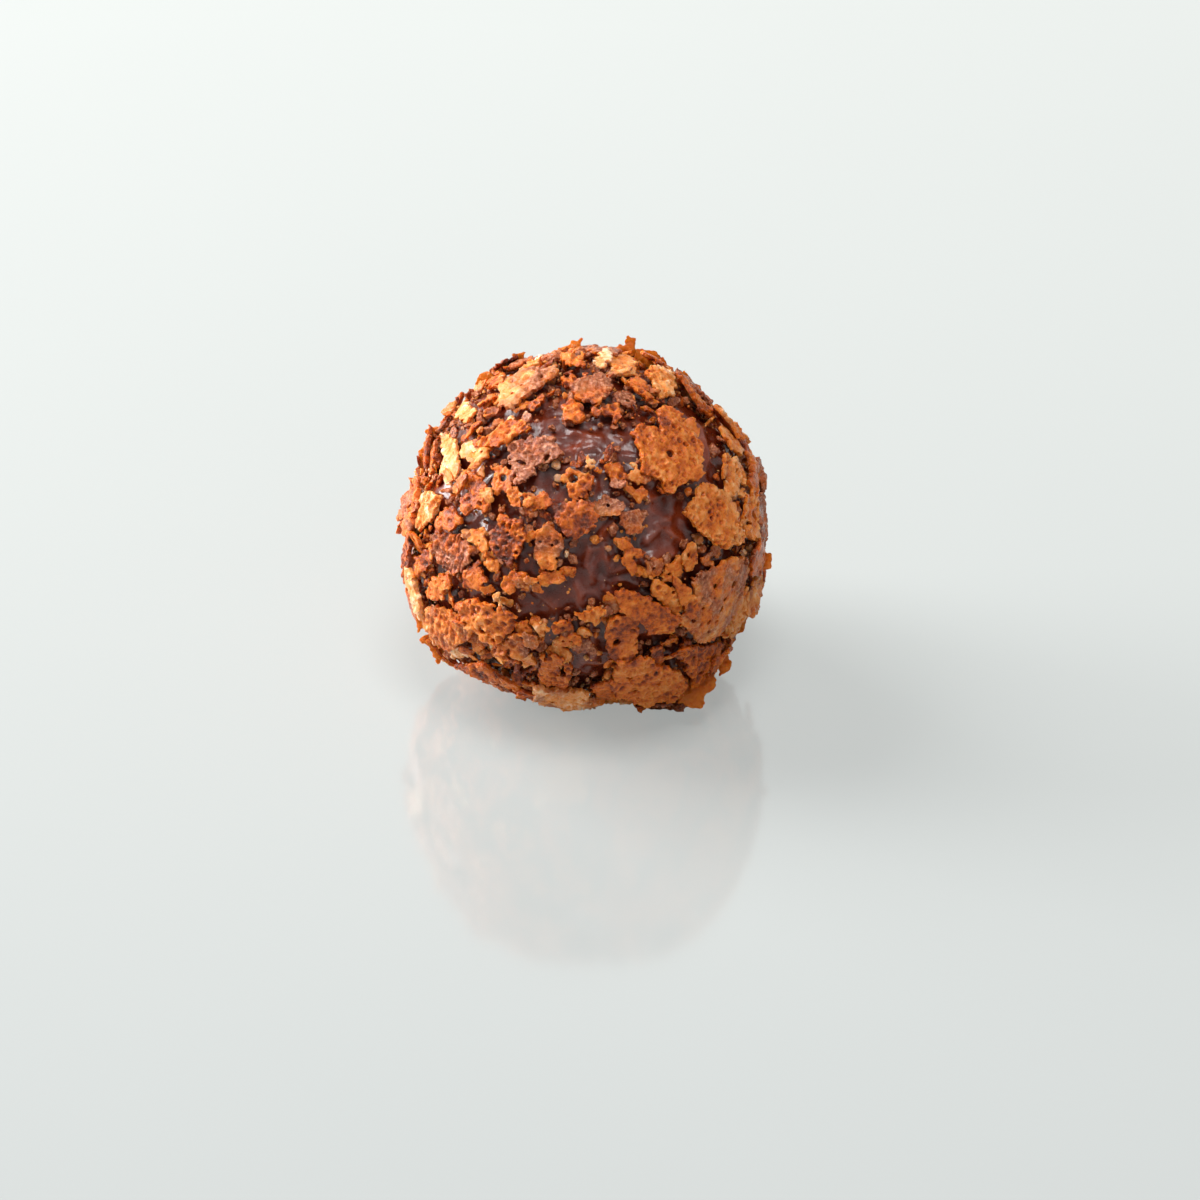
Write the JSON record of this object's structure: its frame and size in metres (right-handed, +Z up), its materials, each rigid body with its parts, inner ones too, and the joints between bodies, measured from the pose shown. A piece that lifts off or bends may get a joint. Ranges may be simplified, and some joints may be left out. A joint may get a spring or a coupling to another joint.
{
  "type": "chocolate truffle",
  "caption": "Round chocolate truffle coated in crushed crisp wafer flakes, resting on a small flattened foot.",
  "frame": {"origin": "middle of the small flat spot that the truffle rests on", "axes": "+Z up from the foot through the middle of the ball, -Y towards the front (show side), +X to the right as seen from the front"},
  "size_m": [0.0303, 0.0304, 0.0291],
  "materials": {
    "wafer_coated_chocolate": "satin"
  },
  "bodies": {
    "root": {"truffle": "wafer_coated_chocolate"}
  },
  "joints": []
}
